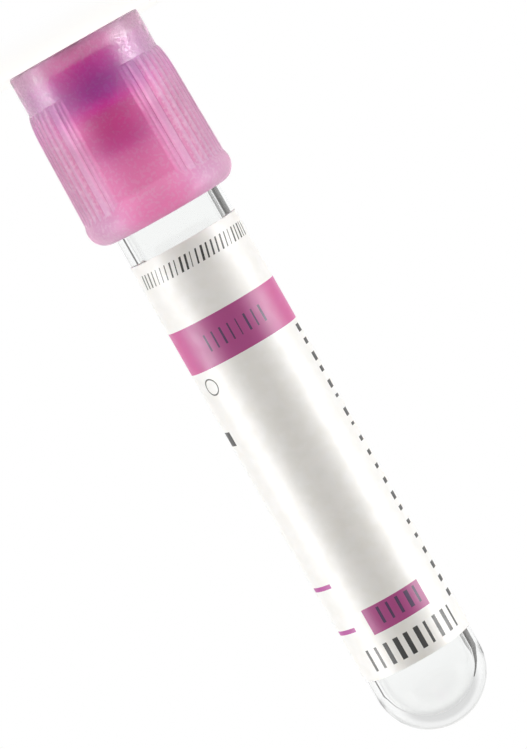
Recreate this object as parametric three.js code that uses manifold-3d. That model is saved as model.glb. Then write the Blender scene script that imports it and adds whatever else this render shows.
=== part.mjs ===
// Evacuated blood collection tube, 13 x 75 mm, with a rubber stopper held in a ribbed safety cap.
//
// Units are millimetres. The part stands on the flat top of its cap: z = 0 is that face, the tube's
// axis is +Z, and the round end of the tube is uppermost. -Y is the middle of one plain cap panel.

import * as THREE from 'three';
import { mergeVertices } from 'three/addons/utils/BufferGeometryUtils.js';
import Module from 'manifold-3d';

// ---- tube ----------------------------------------------------------------------------------------
const TUBE_LENGTH = 75;         // rim to round end
const TUBE_RADIUS = 6.18;       // outside
const TUBE_WALL = 1.05;
const TUBE_END_WALL = 1.4;      // at the middle of the round end
const RIM_EDGE = 0.2;           // small flats on both edges of the rim

// ---- label ---------------------------------------------------------------------------------------
const LABEL_HEIGHT = 50.5;
const LABEL_THICKNESS = 0.12;
const LABEL_GLUE = 0.02;        // adhesive between the tube and the paper
const LABEL_SETBACK = 3.23;     // bare tube between the cap and the label
const LABEL_WINDOW = 11;        // bare strip left between the label's ends, at the back

// ---- stopper -------------------------------------------------------------------------------------
const FLANGE_THICKNESS = 5.8;   // rubber above the tube's rim
const FLANGE_OVERHANG = 0.45;   // flange beyond the tube's outside
const FLANGE_EDGE = 0.3;
const PLUG_LENGTH = 5;          // rubber inside the bore
const PLUG_FIT = 0.05;          // sealing rings to bore, on the radius
const PLUG_GROOVE = 0.25;       // depth of the plug's waist between its sealing rings
const RING_HEIGHT = 1.1;        // each sealing ring, along the axis
const RING_GAP = 1;             // waist between the two rings
const LEAD_IN = 0.8;            // taper at the plug's end
const TARGET_RADIUS = 3.5;      // needle target recessed in the top
const TARGET_DEPTH = 3;
const TARGET_DRAFT = 0.4;       // how much the target narrows towards its floor
const SEPTUM_THICKNESS = 3.2;   // rubber that the needle pierces
const HOLLOW_RADIUS = 3.3;      // hollow end of the plug
const HOLLOW_DRAFT = 0.25;      // how much the hollow narrows towards its roof

// ---- cap -----------------------------------------------------------------------------------------
const CAP_HEIGHT = 20.2;
const CAP_WALL = 0.93;          // plastic round the stopper's flange
const LIP_THICKNESS = 1.8;      // lip that holds the stopper down
const LIP_OPENING = 4.7;        // radius of the needle opening in the lip
const LIP_CHAMFER = 0.3;
const SOCKET_CLEARANCE = 0.1;   // stopper flange to cap, on the radius
const SKIRT_CLEARANCE = 0.5;    // tube to skirt, on the radius
const SKIRT_DRAFT = 0.1;        // how much the skirt opens towards its edge
const SKIRT_CHAMFER = 0.12;
const SNAP_GAP = 0.3;           // snap ridge beyond the flange, along the axis
const SNAP_HEIGHT = 0.5;
const SNAP_RAMP = 0.8;
const SNAP_CLEARANCE = 0.15;    // snap ridge to tube, on the radius
const TOP_ROUND = 0.35;         // outer edge of the cap's top
const COLLAR_HEIGHT = 4.4;      // plain ring above the ribs
const PANEL_FLARE = 0.28;       // plain panel's growth in radius from the collar to the bead
const BEAD_PROUD = 0.6;         // bead beyond the panel, on the radius
const BEAD_REACH = 1.88;        // half width of the bead's section, on the radius
const BEAD_RISE = 1.98;         // half height of the bead's section
const BEAD_FLAT = 0.1;          // flat ring on the cap's open end

// ---- ribs on the cap -----------------------------------------------------------------------------
const PANEL_HALF_ANGLE = 26.5;  // degrees from a panel's middle to where the ribbed side starts
const FIRST_RIB = 31.5;         // degrees from the middle of a panel to the single rib at its edge
const LAND_PLACE = 37.8;        // degrees from the middle of a panel to a wide flat rib
const RIB_PITCH = 7.13;         // degrees, from the middle of the side
const RIBS_EACH_WAY = 6;        // pitches from the middle of the side to the last rib
const RIB_WIDTH = 0.5;
const LAND_WIDTH = 0.9;
const RIB_CHAMFER = 0.12;
const FIELD_RISE = 0.18;        // ground between the ribs, above the panel
const RIB_RISE = 0.43;          // crest of a rib, above the panel
const LAND_RISE = 0.4;
const SHOULDER_LENGTH = 3.3;    // along the axis, where the ribs run out into the collar
const ROOT_DEPTH = 0.5;         // how far the ribs are rooted in the wall

// ---- fineness of the faceted surfaces ------------------------------------------------------------
const FACETS = 48;              // sides of every turned surface, so that facets of mates line up
const DOME_STEPS = 9;
const BEAD_STEPS = 8;
const ROUND_STEPS = 3;
const SHOULDER_STEPS = 4;

// ---- places along the axis and radii that follow from them ---------------------------------------
const TUBE_MOUTH = LIP_THICKNESS + FLANGE_THICKNESS;
const TUBE_END = TUBE_MOUTH + TUBE_LENGTH;
const BORE_RADIUS = TUBE_RADIUS - TUBE_WALL;
const PLUG_END = TUBE_MOUTH + PLUG_LENGTH;
const LABEL_START = CAP_HEIGHT + LABEL_SETBACK;
const FLANGE_RADIUS = TUBE_RADIUS + FLANGE_OVERHANG;
const SOCKET_RADIUS = FLANGE_RADIUS + SOCKET_CLEARANCE;
const SNAP_RADIUS = TUBE_RADIUS + SNAP_CLEARANCE;
const SKIRT_RADIUS = TUBE_RADIUS + SKIRT_CLEARANCE;
const SKIRT_EDGE = SKIRT_RADIUS + SKIRT_DRAFT;
const COLLAR_RADIUS = SOCKET_RADIUS + CAP_WALL;
const BEAD_CENTRE = COLLAR_RADIUS + PANEL_FLARE + BEAD_PROUD - BEAD_REACH;
const BEAD_FOOT = Math.acos((SKIRT_EDGE + SKIRT_CHAMFER + BEAD_FLAT - BEAD_CENTRE) / BEAD_REACH);
const BEAD_MIDDLE = CAP_HEIGHT - BEAD_RISE * Math.sin(BEAD_FOOT);

const QUARTER = Math.PI / 2;
const radians = (degrees) => (degrees * Math.PI) / 180;

const wasm = await Module();
wasm.setup();

// ---- shapes --------------------------------------------------------------------------------------

// Points [radius, height] of an elliptical arc in a profile. Angles start at the radial direction.
function arc(centre, reach, rise, from, to, steps) {
  const points = [];
  for (let i = 0; i <= steps; i += 1) {
    const angle = from + ((to - from) * i) / steps;
    points.push([centre[0] + reach * Math.cos(angle), centre[1] + rise * Math.sin(angle)]);
  }
  return points;
}

// A profile of [radius, height] points turned about the Z axis.
function turned(profile) {
  const points = profile.map(([radius, height]) => new THREE.Vector2(Math.max(radius, 0), height));
  return new THREE.LatheGeometry(points, FACETS).rotateX(QUARTER);
}

// A closed surface as a solid that can be joined and cut: positions only, shared corners merged.
function toSolid(geometry) {
  geometry.deleteAttribute('normal');
  geometry.deleteAttribute('uv');
  const merged = mergeVertices(geometry, 1e-4);
  return new wasm.Manifold(new wasm.Mesh({
    numProp: 3,
    vertProperties: new Float32Array(merged.attributes.position.array),
    triVerts: new Uint32Array(merged.index.array),
  }));
}

function toGeometry(solid) {
  const mesh = solid.getMesh();
  const geometry = new THREE.BufferGeometry();
  geometry.setAttribute('position', new THREE.BufferAttribute(mesh.vertProperties, 3));
  geometry.setIndex(new THREE.BufferAttribute(mesh.triVerts, 1));
  geometry.computeVertexNormals();
  return geometry;
}

// ---- tube ----------------------------------------------------------------------------------------
function tubeGeometry() {
  const innerCentre = [0, TUBE_END - TUBE_END_WALL - BORE_RADIUS];
  const outerCentre = [0, TUBE_END - TUBE_RADIUS];
  return turned([
    ...arc(innerCentre, BORE_RADIUS, BORE_RADIUS, QUARTER, 0, DOME_STEPS),
    [BORE_RADIUS, TUBE_MOUTH + RIM_EDGE],
    [BORE_RADIUS + RIM_EDGE, TUBE_MOUTH],
    [TUBE_RADIUS - RIM_EDGE, TUBE_MOUTH],
    [TUBE_RADIUS, TUBE_MOUTH + RIM_EDGE],
    ...arc(outerCentre, TUBE_RADIUS, TUBE_RADIUS, 0, QUARTER, DOME_STEPS),
  ]);
}

// ---- label ---------------------------------------------------------------------------------------

// Angles round the label from one end to the other, with a corner at each facet of the tube.
function labelAngles() {
  const step = (4 * QUARTER) / FACETS;
  const halfWindow = LABEL_WINDOW / 2 / TUBE_RADIUS;
  const from = QUARTER + halfWindow;
  const to = 5 * QUARTER - halfWindow;
  const angles = [from];
  for (let corner = Math.floor(from / step) + 1; corner * step < to; corner += 1) {
    angles.push(corner * step);
  }
  angles.push(to);
  return angles;
}

function labelGeometry() {
  const inner = TUBE_RADIUS + LABEL_GLUE;
  const at = (radius, angle) => new THREE.Vector2(radius * Math.cos(angle), radius * Math.sin(angle));
  const angles = labelAngles();
  const outside = angles.map((angle) => at(inner + LABEL_THICKNESS, angle));
  const inside = angles.map((angle) => at(inner, angle)).reverse();
  const section = new THREE.Shape([...outside, ...inside]);
  const sheet = new THREE.ExtrudeGeometry(section, { depth: LABEL_HEIGHT, bevelEnabled: false });
  return sheet.translate(0, 0, LABEL_START);
}

// ---- stopper -------------------------------------------------------------------------------------
function stopperGeometry() {
  const targetFloor = LIP_THICKNESS + TARGET_DEPTH;
  const hollowRoof = targetFloor + SEPTUM_THICKNESS;
  const ring = BORE_RADIUS - PLUG_FIT;
  const waist = ring - PLUG_GROOVE;
  const lastRing = PLUG_END - LEAD_IN - RING_HEIGHT;
  const firstRing = lastRing - RING_GAP - RING_HEIGHT;
  return turned([
    [0, targetFloor],
    [TARGET_RADIUS - TARGET_DRAFT, targetFloor],
    [TARGET_RADIUS, LIP_THICKNESS],
    [FLANGE_RADIUS - FLANGE_EDGE, LIP_THICKNESS],
    [FLANGE_RADIUS, LIP_THICKNESS + FLANGE_EDGE],
    [FLANGE_RADIUS, TUBE_MOUTH - FLANGE_EDGE],
    [FLANGE_RADIUS - FLANGE_EDGE, TUBE_MOUTH],
    [waist, TUBE_MOUTH],
    [waist, firstRing - PLUG_GROOVE],
    [ring, firstRing],
    [ring, firstRing + RING_HEIGHT],
    [waist, firstRing + RING_HEIGHT + PLUG_GROOVE],
    [waist, lastRing - PLUG_GROOVE],
    [ring, lastRing],
    [ring, lastRing + RING_HEIGHT],
    [ring - LEAD_IN / 2, PLUG_END],
    [HOLLOW_RADIUS, PLUG_END],
    [HOLLOW_RADIUS - HOLLOW_DRAFT, hollowRoof],
    [0, hollowRoof],
  ]);
}

// ---- cap -----------------------------------------------------------------------------------------

// Radius of the plain panel at a height between the collar and the bead.
function panelRadius(height) {
  const share = (height - COLLAR_HEIGHT) / (BEAD_MIDDLE - COLLAR_HEIGHT);
  return COLLAR_RADIUS + PANEL_FLARE * share;
}

function capBody() {
  const topCentre = [COLLAR_RADIUS - TOP_ROUND, TOP_ROUND];
  const bead = [BEAD_CENTRE, BEAD_MIDDLE];
  const beadTop = -Math.acos((panelRadius(BEAD_MIDDLE - BEAD_RISE) - BEAD_CENTRE) / BEAD_REACH);
  const snapStart = TUBE_MOUTH + SNAP_GAP;
  const snapEnd = snapStart + SNAP_HEIGHT;
  return turned([
    [LIP_OPENING + LIP_CHAMFER, 0],
    ...arc(topCentre, TOP_ROUND, TOP_ROUND, -QUARTER, 0, ROUND_STEPS),
    [COLLAR_RADIUS, COLLAR_HEIGHT],
    ...arc(bead, BEAD_REACH, BEAD_RISE, beadTop, BEAD_FOOT, BEAD_STEPS),
    [SKIRT_EDGE + SKIRT_CHAMFER, CAP_HEIGHT],
    [SKIRT_EDGE, CAP_HEIGHT - SKIRT_CHAMFER],
    [SKIRT_RADIUS, snapEnd + SNAP_RAMP],
    [SNAP_RADIUS, snapEnd],
    [SNAP_RADIUS, snapStart],
    [SOCKET_RADIUS, TUBE_MOUTH],
    [SOCKET_RADIUS, LIP_THICKNESS],
    [LIP_OPENING, LIP_THICKNESS],
    [LIP_OPENING, LIP_CHAMFER],
    [LIP_OPENING + LIP_CHAMFER, 0],
  ]);
}

// Outline, in a plane through the axis, of what stands a given height above the panel: a rounded
// shoulder that runs out into the collar, then a straight length that ends inside the bead.
function raisedOutline(rise) {
  const root = COLLAR_RADIUS - ROOT_DEPTH;
  const points = [[root, COLLAR_HEIGHT]];
  for (let i = 0; i <= SHOULDER_STEPS; i += 1) {
    const turn = (QUARTER * i) / SHOULDER_STEPS;
    const height = COLLAR_HEIGHT + SHOULDER_LENGTH * (1 - Math.cos(turn));
    points.push([panelRadius(height) + rise * Math.sin(turn), height]);
  }
  points.push([panelRadius(BEAD_MIDDLE) + rise, BEAD_MIDDLE]);
  points.push([root, BEAD_MIDDLE]);
  return points;
}

// One rib, standing out along +X.
function rib(width, rise) {
  const outline = raisedOutline(rise).map(([radius, height]) => new THREE.Vector2(radius, height));
  const fin = new THREE.ExtrudeGeometry(new THREE.Shape(outline), {
    depth: width - 2 * RIB_CHAMFER,
    bevelThickness: RIB_CHAMFER,
    bevelSize: RIB_CHAMFER,
    bevelOffset: -RIB_CHAMFER,
    bevelSegments: 1,
  });
  fin.translate(0, 0, RIB_CHAMFER - width / 2);
  return toSolid(fin.rotateX(QUARTER));
}

// The ground that the ribs on the +X side stand on: a turned ring, kept only between the panels.
function ribField() {
  const outline = raisedOutline(FIELD_RISE);
  const ring = toSolid(turned([...outline, outline[0]]));
  const edge = radians(90 - PANEL_HALF_ANGLE);
  const far = 2 * COLLAR_RADIUS;
  const sector = new THREE.Shape([
    new THREE.Vector2(0, 0),
    new THREE.Vector2(far, -far * Math.tan(edge)),
    new THREE.Vector2(far, far * Math.tan(edge)),
  ]);
  const wedge = new THREE.ExtrudeGeometry(sector, { depth: CAP_HEIGHT, bevelEnabled: false });
  return ring.intersect(toSolid(wedge));
}

// Degrees from +X to each narrow rib of that side: an even row from the middle of the side
// outwards, and the single rib beyond each land.
function ribPlaces() {
  const row = Array.from(
    { length: 2 * RIBS_EACH_WAY + 1 },
    (unused, i) => (i - RIBS_EACH_WAY) * RIB_PITCH,
  );
  return [FIRST_RIB - 90, ...row, 90 - FIRST_RIB];
}

function capGeometry() {
  let solid = toSolid(capBody());
  for (const side of [0, 180]) {
    solid = solid.add(ribField().rotate([0, 0, side]));
    for (const place of ribPlaces()) {
      solid = solid.add(rib(RIB_WIDTH, RIB_RISE).rotate([0, 0, side + place]));
    }
    for (const place of [LAND_PLACE - 90, 90 - LAND_PLACE]) {
      solid = solid.add(rib(LAND_WIDTH, LAND_RISE).rotate([0, 0, side + place]));
    }
  }
  return toGeometry(solid);
}

// ---- assembly ------------------------------------------------------------------------------------
const frosted = new THREE.MeshStandardMaterial({ color: 0xdb8fbb, roughness: 0.45, metalness: 0 });
const rubber = new THREE.MeshStandardMaterial({ color: 0x8c2f74, roughness: 0.7, metalness: 0 });
const glass = new THREE.MeshStandardMaterial({ color: 0xe9eef0, roughness: 0.05, metalness: 0 });
const paper = new THREE.MeshStandardMaterial({ color: 0xf2f0ee, roughness: 0.3, metalness: 0 });
glass.transparent = true;
glass.opacity = 0.35;

function piece(name, geometry, finish) {
  const mesh = new THREE.Mesh(geometry, finish);
  mesh.name = name;
  return mesh;
}

const closure = new THREE.Group();
closure.add(piece('cap', capGeometry(), frosted));
closure.add(piece('stopper', stopperGeometry(), rubber));

const vessel = new THREE.Group();
vessel.add(piece('tube', tubeGeometry(), glass));
vessel.add(piece('label', labelGeometry(), paper));

const part = new THREE.Group();
part.add(closure, vessel);

export default part;
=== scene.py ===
import math

import bmesh
import bpy
from mathutils import Matrix, Quaternion, Vector


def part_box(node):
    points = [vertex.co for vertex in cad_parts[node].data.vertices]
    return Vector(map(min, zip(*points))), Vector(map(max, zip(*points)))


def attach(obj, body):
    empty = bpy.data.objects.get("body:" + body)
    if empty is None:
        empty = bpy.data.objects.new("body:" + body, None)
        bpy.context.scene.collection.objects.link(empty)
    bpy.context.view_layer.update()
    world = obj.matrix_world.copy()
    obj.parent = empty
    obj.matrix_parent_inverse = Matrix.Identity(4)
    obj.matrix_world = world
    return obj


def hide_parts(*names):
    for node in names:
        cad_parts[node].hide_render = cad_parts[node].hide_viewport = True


MM = 0.001

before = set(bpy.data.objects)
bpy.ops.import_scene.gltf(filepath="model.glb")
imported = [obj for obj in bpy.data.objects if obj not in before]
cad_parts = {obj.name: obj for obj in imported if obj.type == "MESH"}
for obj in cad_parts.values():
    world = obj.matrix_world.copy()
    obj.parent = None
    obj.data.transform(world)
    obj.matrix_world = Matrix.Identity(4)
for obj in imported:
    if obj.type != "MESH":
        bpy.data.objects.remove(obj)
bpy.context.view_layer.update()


# ---- camera --------------------------------------------------------------------------------------
# A long lens just above the table, level with the cap, looking a little up at the middle of the
# tube, and turned on its side so that the tube crosses the picture from upper left to lower right.
camera_round = math.radians(4.2)     # round the tube from the middle of the cap's plain panel
camera_reach = 454 * MM
camera_height = 2 * MM
camera_aim = 40.15 * MM              # height on the tube's axis
camera_aside = 0.33 * MM
camera_roll = math.radians(150.4)
camera_lens = 207.3
glass_bounces = 12                   # light runs a long way inside the glass wall

camera = bpy.data.objects.new("camera", bpy.data.cameras.new("camera"))
bpy.context.scene.collection.objects.link(camera)
bpy.context.scene.camera = camera
bpy.context.scene.view_settings.view_transform = "Standard"
bpy.context.scene.cycles.glossy_bounces = glass_bounces
camera.data.sensor_width = 36
camera.data.lens = camera_lens
camera.data.clip_start = 0.01
camera.data.clip_end = 20
towards_back = Vector((math.sin(camera_round), math.cos(camera_round), 0))
towards_side = Vector((-math.cos(camera_round), math.sin(camera_round), 0))
camera.location = -camera_reach * towards_back + Vector((0, 0, camera_height))
camera_target = camera_aside * towards_side + Vector((0, 0, camera_aim))
camera.rotation_mode = "QUATERNION"
camera.rotation_quaternion = (
    (camera_target - camera.location).to_track_quat("-Z", "Y")
    @ Quaternion((0, 0, 1), camera_roll)
)


# ---- studio --------------------------------------------------------------------------------------
# A white table and white surroundings, lit by a tall soft lamp on each side. Black flags behind the
# tube, seen only through the glass, draw the dark lines along the edges of its wall, and a low card
# and a greyer overhead give its round end the grey shell.
surroundings_level = 0.51
surroundings_colour = (1.0, 0.95, 0.87, 1)
grey_in_glass = 0.72                 # of white: overhead, the far table and the card in the glass
overhead_from = math.radians(26)     # where the surroundings start to turn grey above the table
overhead_to = math.radians(44)
table_reach = 4
table_drop = 0.02 * MM
table_colour = (0.8, 0.8, 0.8, 1)
table_glow = 0.30
table_lit_to = 120 * MM
table_white_from = 300 * MM
lamp_angle = math.radians(88)        # from the camera's direction, each side
lamp_reach = 450 * MM
lamp_width = 240 * MM
lamp_height = 600 * MM
lamp_power = 1.9
sheen_angle = math.radians(69)
sheen_width = 270 * MM
sheen_power = 4.6
near_share = 1.04                    # of the power, for the lamps on one side and the other
far_share = 0.97


def finish_named(name):
    """A new material, with its node tree and its surface shader."""
    finish = bpy.data.materials.new(name)
    finish.use_nodes = True
    return finish, finish.node_tree, finish.node_tree.nodes["Principled BSDF"]


def maths(tree, operation, *values):
    """The result of one Math node on numbers or other nodes' results."""
    node = tree.nodes.new("ShaderNodeMath")
    node.operation = operation
    for socket, value in zip(node.inputs, values):
        if isinstance(value, (int, float)):
            socket.default_value = value
        else:
            tree.links.new(value, socket)
    return node.outputs[0]


def spread(tree, value, low, high, to_low, to_high, step="SMOOTHSTEP"):
    """A value's range low..high turned into to_low..to_high, smoothly unless told otherwise."""
    node = tree.nodes.new("ShaderNodeMapRange")
    node.interpolation_type = step
    node.inputs["From Min"].default_value = low
    node.inputs["From Max"].default_value = high
    node.inputs["To Min"].default_value = to_low
    node.inputs["To Max"].default_value = to_high
    tree.links.new(value, node.inputs["Value"])
    return node.outputs["Result"]


def split(tree, place):
    """The X, Y and Z outputs of a place."""
    apart = tree.nodes.new("ShaderNodeSeparateXYZ")
    tree.links.new(place, apart.inputs[0])
    return apart.outputs


def mixed(tree, share, first, second):
    """One shader turning into another as a share goes from 0 to 1."""
    mix = tree.nodes.new("ShaderNodeMixShader")
    for socket, value in zip(mix.inputs, (share, first, second)):
        tree.links.new(value, socket)
    return mix.outputs[0]


def seen_directly(tree):
    """1 for what the camera sees straight, in a reflection or through glass, and 0 for light."""
    path = tree.nodes.new("ShaderNodeLightPath").outputs
    straight = maths(tree, "MAXIMUM", path["Is Camera Ray"], path["Is Glossy Ray"])
    return maths(tree, "MAXIMUM", straight, path["Is Transmission Ray"])


surroundings = bpy.data.worlds.new("surroundings")
bpy.context.scene.world = surroundings
surroundings.use_nodes = True
tree = surroundings.node_tree
lit_by = tree.nodes["Background"]
lit_by.inputs["Color"].default_value = surroundings_colour
lit_by.inputs["Strength"].default_value = surroundings_level
seen = tree.nodes.new("ShaderNodeBackground")
seen.inputs["Color"].default_value = (1, 1, 1, 1)
upwards = split(tree, tree.nodes.new("ShaderNodeTexCoord").outputs["Generated"])["Z"]
overhead = spread(
    tree, upwards, math.sin(overhead_from), math.sin(overhead_to), 1, grey_in_glass
)
tree.links.new(overhead, seen.inputs["Strength"])
tree.links.new(
    mixed(tree, seen_directly(tree), lit_by.outputs[0], seen.outputs[0]),
    tree.nodes["World Output"].inputs["Surface"],
)


def finished_piece(name, shape, finish):
    """A mesh object at the origin, made from a bmesh, with smooth shading and one material."""
    mesh = bpy.data.meshes.new(name)
    shape.to_mesh(mesh)
    shape.free()
    mesh.materials.append(finish)
    mesh.polygons.foreach_set("use_smooth", [True] * len(mesh.polygons))
    mesh.set_sharp_from_angle(angle=math.radians(35))
    piece = bpy.data.objects.new(name, mesh)
    bpy.context.scene.collection.objects.link(piece)
    return piece


table_top, tree, surface = finish_named("table_top")
surface.inputs["Base Color"].default_value = table_colour
surface.inputs["Roughness"].default_value = 0.9
surface.inputs["Specular IOR Level"].default_value = 0
surface.inputs["Emission Color"].default_value = (1, 1, 1, 1)
tree.links.new(
    maths(tree, "MULTIPLY", seen_directly(tree), table_glow), surface.inputs["Emission Strength"]
)
plain_white = tree.nodes.new("ShaderNodeEmission")
in_glass = tree.nodes.new("ShaderNodeLightPath").outputs["Is Transmission Ray"]
tree.links.new(
    spread(tree, in_glass, 0, 1, 1, grey_in_glass, "LINEAR"), plain_white.inputs["Strength"]
)
far_off = tree.nodes.new("ShaderNodeVectorMath")
far_off.operation = "LENGTH"
tree.links.new(tree.nodes.new("ShaderNodeTexCoord").outputs["Object"], far_off.inputs[0])
fade = spread(tree, far_off.outputs["Value"], table_lit_to, table_white_from, 0, 1, "LINEAR")
faded = maths(tree, "MULTIPLY", fade, seen_directly(tree))
tree.links.new(
    mixed(tree, faded, surface.outputs[0], plain_white.outputs[0]),
    tree.nodes["Material Output"].inputs["Surface"],
)

shape = bmesh.new()
bmesh.ops.create_grid(shape, x_segments=1, y_segments=1, size=table_reach)
bmesh.ops.translate(shape, verts=shape.verts, vec=(0, 0, -table_drop))
table = finished_piece("table", shape, table_top)

all_but_glass = bpy.data.collections.new("all_but_glass")
for name, angle, width, power in (
    ("side_lamp", lamp_angle, lamp_width, lamp_power),
    ("sheen_lamp", sheen_angle, sheen_width, sheen_power),
):
    for side, share in ((-1, near_share), (1, far_share)):
        direction = Matrix.Rotation(side * angle, 3, "Z") @ -towards_back
        light = bpy.data.lights.new(name, "AREA")
        light.shape = "RECTANGLE"
        light.size = width
        light.size_y = lamp_height
        light.energy = share * power
        lamp = bpy.data.objects.new(name, light)
        bpy.context.scene.collection.objects.link(lamp)
        lamp.location = lamp_reach * direction + Vector((0, 0, lamp_height / 2))
        lamp.rotation_mode = "QUATERNION"
        lamp.rotation_quaternion = (-direction).to_track_quat("-Z", "Y")
        lamp.visible_camera = False
        lamp.visible_diffuse = name == "side_lamp"
        lamp.visible_transmission = name == "side_lamp"
        lamp.light_linking.receiver_collection = all_but_glass

flag_cloth, tree, surface = finish_named("flag_cloth")
surface.inputs["Base Color"].default_value = (0.12, 0.12, 0.12, 1)
surface.inputs["Roughness"].default_value = 1
surface.inputs["Specular IOR Level"].default_value = 0
grey_card = flag_cloth.copy()
grey_card.name = "grey_card"
surface = grey_card.node_tree.nodes["Principled BSDF"]
surface.inputs["Base Color"].default_value = (0, 0, 0, 1)
surface.inputs["Emission Color"].default_value = (1, 1, 1, 1)
surface.inputs["Emission Strength"].default_value = grey_in_glass
flag_reach = 500 * MM
card_reach = 510 * MM
# Each row: height in metres, and where the sheet begins and ends there, in degrees round from
# behind the tube. The card goes all the way round.
left_flag = (
    (0, -51, -20), (0.17, -51, -23), (0.26, -52, -36), (0.34, -52, -43), (0.50, -53, -48),
)
right_flag = (
    (0, 35, 44), (0.17, 37, 43), (0.22, 43, 46.5), (0.34, 46.5, 48.5), (0.46, 49, 49.5),
)
low_card = ((0.065, -180, 180), (0.146, -180, 180))
for finish, edges, reach, columns in (
    (flag_cloth, left_flag, flag_reach, 1),
    (flag_cloth, right_flag, flag_reach, 1),
    (grey_card, low_card, card_reach, 90),
):
    shape = bmesh.new()
    bmesh.ops.create_grid(shape, x_segments=columns, y_segments=len(edges) - 1, size=0.5)
    for vert in shape.verts:
        height, start, end = edges[round((vert.co.y + 0.5) * (len(edges) - 1))]
        angle = math.radians(start + (end - start) * (vert.co.x + 0.5)) + camera_round
        vert.co = (reach * math.sin(angle), reach * math.cos(angle), height)
    flag = finished_piece("flag", shape, finish)
    flag.visible_camera = False
    flag.visible_diffuse = False
    flag.visible_glossy = False
    flag.visible_shadow = False


# ---- tube ----------------------------------------------------------------------------------------
# Clear drawn glass, open at the cap's end and closed by a round end that is thicker than the wall.
# Its rim is fire-polished. It stands mouth down in the cap, round the stopper's plug.
tube_low, tube_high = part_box("tube")
tube_radius = tube_high.x
tube_mouth = tube_low.z
tube_end = tube_high.z
tube_wall = 1.05 * MM
tube_end_wall = 1.4 * MM
tube_rim_round = 0.2 * MM
nearly_all = 0.9999                  # a round that takes a whole corner but for a hair
bore_radius = tube_radius - tube_wall
bore_end = tube_end - tube_end_wall


def turned(outline, rounds, steps, row, closed=True):
    """An outline of (radius, height) corners, some rounded off, turned about the tube's axis.
    Its straight lengths are cut into rows, so that a round doesn't tilt the shading beside it."""
    shape = bmesh.new()
    corners = [shape.verts.new((radius, 0, height)) for radius, height in outline]
    pairs = list(zip(corners, corners[1:]))
    if closed:
        pairs.append((corners[-1], corners[0]))
    for first, second in pairs:
        shape.edges.new((first, second))
    for index, (reach, segments) in rounds.items():
        bmesh.ops.bevel(
            shape, geom=[corners[index]], offset=reach, segments=segments, affect="VERTICES",
            profile=0.5, material=-1,
        )
    for edge in shape.edges[:]:
        cuts = int(edge.calc_length() / row)
        if cuts:
            bmesh.ops.subdivide_edges(shape, edges=[edge], cuts=cuts)
    bmesh.ops.spin(
        shape, geom=shape.edges[:], cent=(0, 0, 0), axis=(0, 0, 1), angle=2 * math.pi,
        steps=steps, use_merge=True,
    )
    bmesh.ops.remove_doubles(shape, verts=shape.verts, dist=1e-7)
    bmesh.ops.recalc_face_normals(shape, faces=shape.faces)
    return shape


shape = turned(
    [
        (0, bore_end),
        (bore_radius, bore_end),
        (bore_radius, tube_mouth),
        (tube_radius, tube_mouth),
        (tube_radius, tube_end),
        (0, tube_end),
    ],
    {
        1: (bore_radius * nearly_all, 24),
        2: (tube_rim_round, 5),
        3: (tube_rim_round, 5),
        4: (tube_radius * nearly_all, 28),
    },
    256,
    1.5 * MM,
    closed=False,
)


def grain(tree, scale, detail=2, roughness=0.5, stretch=(1, 1, 1)):
    """Noise over a piece, in cells per metre, drawn out along an axis by a small stretch value."""
    place = tree.nodes.new("ShaderNodeTexCoord")
    mapping = tree.nodes.new("ShaderNodeMapping")
    mapping.inputs["Scale"].default_value = stretch
    noise = tree.nodes.new("ShaderNodeTexNoise")
    noise.inputs["Scale"].default_value = scale
    noise.inputs["Detail"].default_value = detail
    noise.inputs["Roughness"].default_value = roughness
    tree.links.new(place.outputs["Object"], mapping.inputs["Vector"])
    tree.links.new(mapping.outputs["Vector"], noise.inputs["Vector"])
    return noise.outputs["Fac"]


def raised(tree, surface, height, depth, strength=1.0):
    """Bumps of a real depth from a height between 0 and 1, and the bumpy normal they give."""
    bump = tree.nodes.new("ShaderNodeBump")
    bump.inputs["Strength"].default_value = strength
    bump.inputs["Distance"].default_value = depth
    tree.links.new(height, bump.inputs["Height"])
    tree.links.new(bump.outputs["Normal"], surface.inputs["Normal"])
    return bump.outputs["Normal"]


glass, tree, surface = finish_named("clear_glass")
surface.inputs["Base Color"].default_value = (0.955, 0.962, 0.958, 1)
surface.inputs["IOR"].default_value = 1.5
surface.inputs["Transmission Weight"].default_value = 1
tree.links.new(
    spread(tree, grain(tree, 900, 3), 0.45, 0.75, 0.0, 0.03), surface.inputs["Roughness"]
)
raised(tree, surface, grain(tree, 260, 1, 0.5, (1, 1, 0.06)), 0.004 * MM, 0.5)
tube = finished_piece("glass_tube", shape, glass)
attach(tube, "vessel")
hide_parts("tube")
all_but_glass.objects.link(tube)
all_but_glass.collection_objects[0].light_linking.link_state = "EXCLUDE"


# ---- label ---------------------------------------------------------------------------------------
# One sheet of white coated paper wrapped round the tube, its ends a little apart at the back. It is
# printed with a magenta band, a magenta field and rows of plain dark bars.
label_low, label_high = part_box("label")
label_height = label_high.z - label_low.z
label_outside = label_high.x
label_thickness = 0.12 * MM
label_glue = 0.02 * MM
label_window = 11 * MM
label_corner = 3 * MM
label_columns = 144
sheet_radius = label_outside - label_thickness
label_length = 2 * math.pi * (sheet_radius - label_glue) - label_window
beside_print = 200                   # millimetres across, well clear of every printed field

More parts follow.
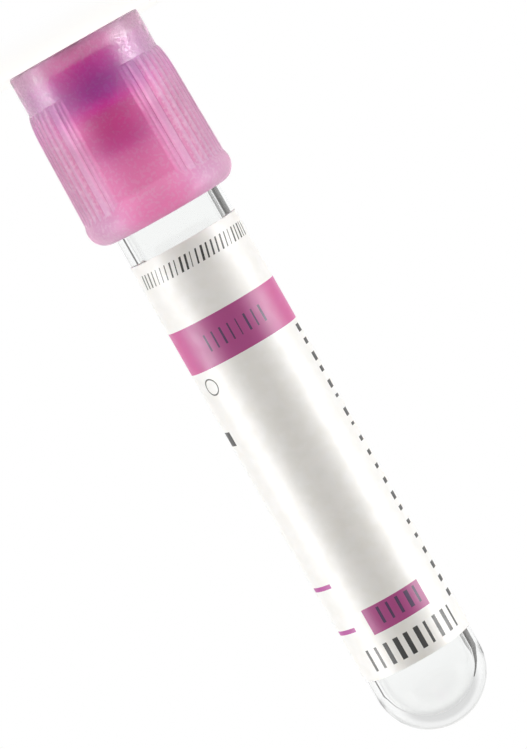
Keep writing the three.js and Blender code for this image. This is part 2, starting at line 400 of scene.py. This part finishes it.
shape = bmesh.new()
bmesh.ops.create_grid(shape, x_segments=1, y_segments=1, size=0.5)
bmesh.ops.scale(shape, verts=shape.verts, vec=(label_length, label_height, 1))
bmesh.ops.bevel(
    shape, geom=shape.verts[:], offset=label_corner, segments=8, affect="VERTICES",
    profile=0.5, material=-1,
)
for column in range(1, label_columns):
    cut = label_length * (column / label_columns - 0.5)
    bmesh.ops.bisect_plane(
        shape, geom=shape.verts[:] + shape.edges[:] + shape.faces[:], plane_co=(cut, 0, 0),
        plane_no=(1, 0, 0),
    )
flat = shape.loops.layers.uv.new("flat_sheet")
for face in shape.faces:
    for corner in face.loops:
        corner[flat].uv = (corner.vert.co.x / MM, corner.vert.co.y / MM)
for vert in shape.verts:
    angle = vert.co.x / (sheet_radius - label_glue)
    height = label_low.z + label_height / 2 + vert.co.y
    vert.co = (-sheet_radius * math.sin(angle), -sheet_radius * math.cos(angle), height)
bmesh.ops.recalc_face_normals(shape, faces=shape.faces)
inner_faces = shape.faces[:]
thick = bmesh.ops.extrude_face_region(shape, geom=inner_faces, use_keep_orig=True)
for part in thick["geom"]:
    if isinstance(part, bmesh.types.BMVert):
        part.co.x *= label_outside / sheet_radius
        part.co.y *= label_outside / sheet_radius
for face in inner_faces:             # the glued side carries no print
    for corner in face.loops:
        corner[flat].uv.x += beside_print
bmesh.ops.recalc_face_normals(shape, faces=shape.faces)

paper, tree, surface = finish_named("label_paper")
flat_place = tree.nodes.new("ShaderNodeUVMap")
flat_place.uv_map = "flat_sheet"
apart = split(tree, flat_place.outputs["UV"])
across = apart["X"]
along = maths(tree, "ADD", apart["Y"], label_height / MM / 2)


def field(tree, left, right, low, high):
    """1 inside a rectangle of the flat label, in millimetres across and along it."""
    wide = maths(tree, "COMPARE", across, (left + right) / 2, (right - left) / 2)
    tall = maths(tree, "COMPARE", along, (low + high) / 2, (high - low) / 2)
    return maths(tree, "MULTIPLY", wide, tall)


def bars(tree, place, pitch, seed, full):
    """A run of bars of different widths along a place, as 1, with the ground between them as 0."""
    share = maths(tree, "DIVIDE", place, pitch)
    number = maths(tree, "FLOOR", share)
    chance = tree.nodes.new("ShaderNodeTexWhiteNoise")
    chance.noise_dimensions = "1D"
    tree.links.new(maths(tree, "ADD", number, seed), chance.inputs["W"])
    width = maths(tree, "MULTIPLY", maths(tree, "ADD", chance.outputs["Value"], 0.5), full)
    return maths(tree, "LESS_THAN", maths(tree, "FRACT", share), width)


def printed(tree, ground, ink, where, strength=1.0):
    """A ground colour with an ink laid over it where a field is 1."""
    mix = tree.nodes.new("ShaderNodeMix")
    mix.data_type = "RGBA"
    tree.links.new(maths(tree, "MULTIPLY", where, strength), mix.inputs["Factor"])
    for socket, value in (("A", ground), ("B", ink)):
        target = [s for s in mix.inputs if s.name == socket and s.type == "RGBA"][0]
        if isinstance(value, tuple):
            target.default_value = value
        else:
            tree.links.new(value, target)
    return [s for s in mix.outputs if s.type == "RGBA"][0]


white_coat = (0.86, 0.86, 0.86, 1)
fibre_white = (0.83, 0.83, 0.82, 1)
magenta_ink = (0.44, 0.05, 0.27, 1)
# the band's ink as painted lit, for its sides
painted_light_ink = (0.57, 0.09, 0.31, 1)
black_ink = (0.02, 0.02, 0.02, 1)
purple_ink = (0.42, 0.03, 0.30, 1)
dark_purple_ink = (0.06, 0.012, 0.10, 1)
fibres = spread(tree, grain(tree, 700, 3), 0.35, 0.65, 0.0, 1.0)
colour = printed(tree, white_coat, fibre_white, fibres)
# painted light on the band: its ink turns paler from 3 to 7 mm either side of the label's middle
painted_side_light = spread(tree, maths(tree, "ABSOLUTE", across), 3.0, 7.0, 0.0, 1.0)
band_ink_and_light = printed(tree, magenta_ink, painted_light_ink, painted_side_light)
colour = printed(tree, colour, band_ink_and_light, field(tree, -30, 30, 8.05, 13.05))
colour = printed(tree, colour, magenta_ink, field(tree, -2.66, 4.26, 42.95, 45.9))
# Each row: left, right, low and high edge, the bars' pitch, slant, seed and width, and the ink.
bar_rows = [
    (-6.9, 8.5, 1.2, 2.8, 0.62, 0.25, 3, 0.3, black_ink),
    (-3.4, 4.7, 9.6, 11.5, 0.95, 0.0, 11, 0.2, dark_purple_ink),
    (-1.9, 3.9, 43.3, 45.2, 1.1, 0.0, 23, 0.34, dark_purple_ink),
    (-5.0, 6.3, 47.1, 49.6, 1.2, 0.0, 31, 0.42, black_ink),
]
for left, right, low, high, pitch, slant, seed, full, ink in bar_rows:
    leant = maths(tree, "ADD", across, maths(tree, "MULTIPLY", along, slant))
    row = maths(tree, "MULTIPLY", field(tree, left, right, low, high),
                bars(tree, leant, pitch, seed, full))
    colour = printed(tree, colour, ink, row)
side_row = maths(tree, "MULTIPLY", field(tree, 7.7, 8.8, 13.4, 47.5),
                 bars(tree, along, 1.7, 5, 0.4))
colour = printed(tree, colour, black_ink, side_row)
for left, right, low, high, ink in (
    (-8.6, -6.76, 20.0, 21.65, black_ink),
    (-8.3, -4.5, 39.0, 39.5, purple_ink),
    (-8.3, -4.5, 44.3, 44.8, purple_ink),
):
    colour = printed(tree, colour, ink, field(tree, left, right, low, high))
ring_across, ring_along, ring_size, ring_line = -5.27, 14.9, 0.9, 0.08
from_ring = maths(
    tree, "SQRT",
    maths(tree, "ADD",
          maths(tree, "POWER", maths(tree, "SUBTRACT", across, ring_across), 2),
          maths(tree, "POWER", maths(tree, "SUBTRACT", along, ring_along), 2)),
)
colour = printed(tree, colour, black_ink,
                 maths(tree, "COMPARE", from_ring, ring_size, ring_line))
tree.links.new(colour, surface.inputs["Base Color"])
surface.inputs["IOR"].default_value = 1.5
surface.inputs["Subsurface Weight"].default_value = 1.0
surface.inputs["Subsurface Radius"].default_value = (1.0, 0.95, 0.9)
surface.inputs["Subsurface Scale"].default_value = 0.15 * MM
tree.links.new(spread(tree, fibres, 0, 1, 0.36, 0.44), surface.inputs["Roughness"])
raised(tree, surface, grain(tree, 5000, 2), 0.003 * MM, 0.5)
label = finished_piece("wrapped_label", shape, paper)
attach(label, "vessel")
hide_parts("label")


# ---- stopper -------------------------------------------------------------------------------------
# Moulded rubber: a flange on the tube's rim and a hollow plug with two sealing rings in its bore.
# A needle goes through the thin middle, between the target in the top and the plug's hollow.
stopper_low, stopper_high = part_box("stopper")
flange_radius = stopper_high.x
flange_top = stopper_low.z
plug_end = stopper_high.z
target_radius = 3.5 * MM
target_depth = 3 * MM
target_draft = 0.4 * MM
needle_web = 3.2 * MM                # solid rubber between the target and the hollow
hollow_radius = 3.3 * MM
hollow_draft = 0.25 * MM
plug_clearance = 0.05 * MM
waist_depth = 0.25 * MM
ring_slope = 0.25 * MM
ring_height = 1.1 * MM
ring_gap = 1 * MM
lead_in = 0.8 * MM
target_floor = flange_top + target_depth
hollow_roof = target_floor + needle_web
ring_radius = bore_radius - plug_clearance
waist_radius = ring_radius - waist_depth
last_ring = plug_end - lead_in - ring_height
first_ring = last_ring - ring_gap - ring_height

shape = turned(
    [
        (0, target_floor),
        (target_radius - target_draft, target_floor),
        (target_radius, flange_top),
        (flange_radius, flange_top),
        (flange_radius, tube_mouth),
        (waist_radius, tube_mouth),
        (waist_radius, first_ring - ring_slope),
        (ring_radius, first_ring),
        (ring_radius, first_ring + ring_height),
        (waist_radius, first_ring + ring_height + ring_slope),
        (waist_radius, last_ring - ring_slope),
        (ring_radius, last_ring),
        (ring_radius, last_ring + ring_height),
        (ring_radius - lead_in / 2, plug_end),
        (hollow_radius, plug_end),
        (hollow_radius - hollow_draft, hollow_roof),
        (0, hollow_roof),
    ],
    {
        1: (0.3 * MM, 3),
        2: (0.3 * MM, 3),
        3: (0.5 * MM, 4),
        4: (0.15 * MM, 2),
        13: (0.3 * MM, 3),
        14: (0.3 * MM, 3),
        15: (0.4 * MM, 3),
    },
    128,
    1 * MM,
    closed=False,
)
rubber, tree, surface = finish_named("stopper_rubber")
shade = spread(tree, grain(tree, 400, 3), 0.35, 0.65, 0.0, 1.0)
along_plug = split(tree, tree.nodes.new("ShaderNodeTexCoord").outputs["Object"])["Z"]
clouding = (0.6, 0.06, 0.4, 1)
painted_shading_tones = [                  # painted light and shade along the height: dark purple at the flange, bright magenta along the plug
    (0.00, (0.32, 0.02, 0.30, 1)),
    (0.15, (0.23, 0.025, 0.29, 1)),
    (0.27, (0.14, 0.022, 0.26, 1)),
    (0.37, (0.18, 0.020, 0.29, 1)),
    (0.53, (0.43, 0.010, 0.40, 1)),
    (0.58, (0.74, 0.005, 0.50, 1)),
    (0.82, (0.76, 0.02, 0.57, 1)),
    (0.96, (0.70, 0.05, 0.58, 1)),
]


def tones_along(tree, height, low, high, tones):
    """Colours that follow each other smoothly between two heights, at shares of the way."""
    ramp = tree.nodes.new("ShaderNodeValToRGB")
    ramp.color_ramp.interpolation = "EASE"
    share = maths(tree, "DIVIDE", maths(tree, "SUBTRACT", height, low), high - low)
    tree.links.new(share, ramp.inputs["Fac"])
    while len(ramp.color_ramp.elements) < len(tones):
        ramp.color_ramp.elements.new(0.5)
    for stop, (position, tone) in zip(ramp.color_ramp.elements, tones):
        stop.position = position
        stop.color = tone
    return ramp.outputs["Color"]


# the stopper's colour: painted light and shade along its height, under a faint random clouding
colour = tones_along(tree, along_plug, flange_top, plug_end, painted_shading_tones)
colour = printed(tree, colour, clouding, shade, 0.06)
tree.links.new(colour, surface.inputs["Base Color"])
surface.inputs["Specular IOR Level"].default_value = 0.2
tree.links.new(spread(tree, shade, 0, 1, 0.5, 0.62), surface.inputs["Roughness"])
raised(tree, surface, grain(tree, 4000, 2), 0.01 * MM, 0.5)
stopper = finished_piece("rubber_stopper", shape, rubber)
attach(stopper, "closure")
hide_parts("stopper")


# ---- cap -----------------------------------------------------------------------------------------
# A safety cap moulded in translucent pink plastic with a spark-eroded, frosted outside. Two plain
# panels face each other; the sides between them carry grip ribs, and a round bead ends the skirt.
cap_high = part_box("cap")[1]
cap_end = cap_high.z
lip_thickness = 1.8 * MM
lip_opening = 4.7 * MM
socket_clearance = 0.1 * MM
collar_wall = 0.93 * MM
collar_height = 4.4 * MM
snap_clearance = 0.15 * MM
snap_from = 1.6 * MM                 # past the tube's mouth: the snap ridge, then its slope's end
snap_to = 3 * MM
skirt_clearance = 0.5 * MM
skirt_flare = 0.1 * MM
foot_width = 0.22 * MM
socket_radius = flange_radius + socket_clearance
collar_radius = socket_radius + collar_wall
snap_radius = tube_radius + snap_clearance
skirt_radius = tube_radius + skirt_clearance
skirt_edge = skirt_radius + skirt_flare
panel_flare = 0.28 * MM
bead_reach = 1.88 * MM
bead_rise = 1.98 * MM
hollow_reach = 0.5 * MM
bead_centre = cap_high.x - bead_reach
bead_foot = math.acos((skirt_edge + foot_width - bead_centre) / bead_reach)
bead_middle = cap_end - bead_rise * math.sin(bead_foot)
panel_half = 26.5                    # degrees from a panel's middle, as are the rib and land places
panel_ease = 1.4                     # each side of the panel's edge
first_rib = 31.5
land_place = 37.8
rib_pitch = 7.13                     # degrees, from the middle of the side
ribs_each_way = 6
rib_width = 0.5 * MM
land_width = 0.9 * MM
field_rise = 0.18 * MM
rib_rise = 0.43 * MM
land_rise = 0.40 * MM
first_rise = 0.33 * MM
rib_round = 0.06 * MM                # a rib's slope reaches this far out from its edge
rib_slope = 0.2 * MM
first_highlight = 0.5                     # of a crest's painted highlight, for the ground beside the first rib
# the share of the painted highlight on the ribs' crests
rib_highlight = 0.8
shoulder_length = 3.3 * MM
shoulder_steps, plain_steps, bead_steps, foot_steps = 24, 16, 20, 12


def panel_radius(height):
    return collar_radius + panel_flare * (height - collar_height) / (bead_middle - collar_height)


def eased(value):
    """0 below 0, 1 above 1, and a smooth step between."""
    value = min(max(value, 0), 1)
    return value * value * (3 - 2 * value)


def rib_lift(angle, height):
    """How far the ribbed sides stand above the plain panels at an angle from a panel's middle,
    and how strongly that place is painted paler as a highlight on the crests, the land and the
    ground beside the first rib, between 0 and 1."""
    from_middle = abs((math.degrees(angle) + 90) % 180 - 90)
    field = field_rise * eased((from_middle - panel_half + panel_ease) / (2 * panel_ease))
    in_row = min(round((90 - from_middle) / rib_pitch), ribs_each_way)
    lift = field
    crest = first_highlight * field / field_rise if from_middle < land_place else 0
    for place, width, rise, highlight in (
        (90 - rib_pitch * in_row, rib_width, rib_rise, rib_highlight),
        (first_rib, rib_width, first_rise, rib_highlight),
        (land_place, land_width, land_rise, 1),
    ):
        off = math.radians(abs(from_middle - place)) * collar_radius
        share = eased((width / 2 + rib_round - off) / rib_slope)
        lift = max(lift, field + share * (rise - field_rise))
        crest = max(crest, share * highlight)
    run_out = min((height - collar_height) / shoulder_length, 1)
    shoulder = math.sqrt(max(1 - (1 - run_out) ** 2, 0))
    return lift * shoulder, crest * shoulder


def skirt_outside(height):
    """Radius of the plain outside of the skirt: the panel, then the bead, with a soft hollow where
    they meet."""
    panel = panel_radius(height)
    up = (height - bead_middle) / bead_rise
    bead = bead_centre + bead_reach * math.sqrt(max(1 - up * up, 0))
    near = max(1 - abs(panel - bead) / hollow_reach, 0)
    return max(panel, bead) + near * near * hollow_reach / 4


bead_from = bead_middle - bead_rise
plain_from = collar_height + shoulder_length
plain_rise = bead_from - collar_height - shoulder_length
heights = [
    collar_height + shoulder_length * (step / shoulder_steps) ** 1.6
    for step in range(1, shoulder_steps + 1)
]
heights += [plain_from + plain_rise * step / plain_steps for step in range(1, plain_steps)]
heights += [bead_from + bead_rise * step / bead_steps for step in range(bead_steps)]
bead_arc = [
    (bead_centre + bead_reach * math.cos(bead_foot * step / foot_steps),
     bead_middle + bead_rise * math.sin(bead_foot * step / foot_steps))
    for step in range(foot_steps + 1)
]
outline = [
    (lip_opening, 0),
    (collar_radius, 0),
    (collar_radius, collar_height),
    *[(skirt_outside(height), height) for height in heights],
    *bead_arc,
    (skirt_edge, cap_end),
    (skirt_radius, tube_mouth + snap_to),
    (snap_radius, tube_mouth + snap_from),
    (socket_radius, tube_mouth),
    (socket_radius, lip_thickness),
    (lip_opening, lip_thickness),
]
last = len(outline)
shape = turned(
    outline,
    {
        0: (0.3 * MM, 3),
        1: (0.28 * MM, 4),
        2: (0.2 * MM, 3),
        last - 6: (0.12 * MM, 2),
        last - 5: (1 * MM, 5),
        last - 4: (1 * MM, 5),
        last - 1: (0.2 * MM, 2),
    },
    576,
    1 * MM,
)
# each vertex carries how strongly the painted crest highlight lies on it
crest_highlight_share = shape.verts.layers.float.new("crest_highlight_share")
for vert in shape.verts:
    radius = math.hypot(vert.co.x, vert.co.y)
    if radius < collar_radius - 0.05 * MM or not collar_height < vert.co.z < bead_middle:
        continue
    lift, crest = rib_lift(math.atan2(vert.co.x, -vert.co.y), vert.co.z)
    wanted = panel_radius(vert.co.z) + lift
    if wanted > radius:
        vert[crest_highlight_share] = crest
        vert.co.x *= wanted / radius
        vert.co.y *= wanted / radius
bmesh.ops.recalc_face_normals(shape, faces=shape.faces)

frosted, tree, surface = finish_named("frosted_plastic")
frost = grain(tree, 4200, 2, 0.7)
tint = spread(tree, grain(tree, 300, 2), 0.35, 0.65, 0.0, 1.0)
apart = split(tree, tree.nodes.new("ShaderNodeTexCoord").outputs["Object"])
aside = maths(tree, "ABSOLUTE", apart["X"])
deep_pink = (1.0, 0.40, 0.68, 1)
painted_limb_sheen = (0.95, 0.72, 0.86, 1)
crest_highlight_lilac = (0.85, 0.75, 0.89, 1)
frost_sparkle_white = (0.99, 0.90, 0.96, 1)
panel_tones = [                      # from the lip to the bead's end, in a panel's middle; the pale lip is painted light coming through it, and the bead's end is paler too
    (0.00, (1.00, 0.74, 0.87, 1)),
    (0.04, (1.00, 0.50, 0.73, 1)),
    (0.08, (1.00, 0.46, 0.74, 1)),
    (0.26, (1.00, 0.47, 0.75, 1)),
    (0.44, (0.99, 0.42, 0.69, 1)),
    (0.54, (1.00, 0.49, 0.74, 1)),
    (0.75, (1.00, 0.47, 0.71, 1)),
    (0.84, (1.00, 0.42, 0.68, 1)),
    (0.94, (1.00, 0.44, 0.70, 1)),
    (1.00, (1.00, 0.62, 0.81, 1)),
]
side_light_and_shade_tones = [                       # the same towards the sides: painted light and shade, a lavender sheen at the collar and the ends and darker along the ribs
    (0.00, (0.90, 0.70, 0.82, 1)),
    (0.04, (0.83, 0.51, 0.71, 1)),
    (0.08, (0.80, 0.50, 0.71, 1)),
    (0.20, (0.80, 0.50, 0.71, 1)),
    (0.30, (0.81, 0.36, 0.60, 1)),
    (0.64, (0.73, 0.29, 0.50, 1)),
    (0.80, (0.72, 0.30, 0.51, 1)),
    (0.90, (0.73, 0.43, 0.63, 1)),
    (1.00, (0.89, 0.66, 0.81, 1)),
]
colour = tones_along(tree, apart["Z"], 0, cap_end, panel_tones)
colour = printed(tree, colour, deep_pink, tint, 0.3)
# painted light and shade on the sides, mixed in from 2 to 6 mm out across from the middle
colour = printed(tree, colour, tones_along(tree, apart["Z"], 0, cap_end, side_light_and_shade_tones),
                 spread(tree, aside, 2.0 * MM, 6.0 * MM, 0.0, 1.0))
# painted sheen towards the outline, from 6.9 to 8.3 mm out across
colour = printed(tree, colour, painted_limb_sheen,
                 spread(tree, aside, 6.9 * MM, 8.3 * MM, 0.0, 1.0), 0.6)
# painted highlight: the rib crests, the land and the first rib's ground made paler, by the share on
# each vertex
crest_highlights = tree.nodes.new("ShaderNodeAttribute")
crest_highlights.attribute_name = "crest_highlight_share"
colour = printed(tree, colour, crest_highlight_lilac, crest_highlights.outputs["Fac"], 0.8)
# white specks over the frosted outside: partly its own grain, partly painted sparkle
sparkle_speck = spread(tree, grain(tree, 2600, 1, 0.6), 0.5, 0.62, 0.0, 1.0)
colour = printed(tree, colour, frost_sparkle_white, sparkle_speck, 0.35)
tree.links.new(colour, surface.inputs["Base Color"])
surface.inputs["IOR"].default_value = 1.5
surface.inputs["Transmission Weight"].default_value = 1
surface.inputs["Specular Tint"].default_value = (0.5, 0.2, 0.4, 1)
gloss = maths(tree, "MULTIPLY", spread(tree, aside, 2.8 * MM, 5.1 * MM, 0.03, 0.85),
              spread(tree, apart["Z"], 4 * MM, 5.5 * MM, 1.0, 0.15))
gloss = maths(tree, "MULTIPLY", gloss, spread(tree, frost, 0.45, 0.6, 0.35, 1.4))
gloss = maths(tree, "MAXIMUM", gloss,
              spread(tree, apart["Z"], 0.05 * MM, 0.35 * MM, 0.9, 0.0))
tree.links.new(gloss, surface.inputs["Coat Weight"])
surface.inputs["Coat Roughness"].default_value = 0.2
surface.inputs["Coat IOR"].default_value = 1.8
tree.links.new(spread(tree, frost, 0.3, 0.7, 0.55, 0.7), surface.inputs["Roughness"])
tree.links.new(raised(tree, surface, frost, 0.035 * MM, 0.8), surface.inputs["Coat Normal"])
cap = finished_piece("safety_cap", shape, frosted)
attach(cap, "closure")
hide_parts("cap")
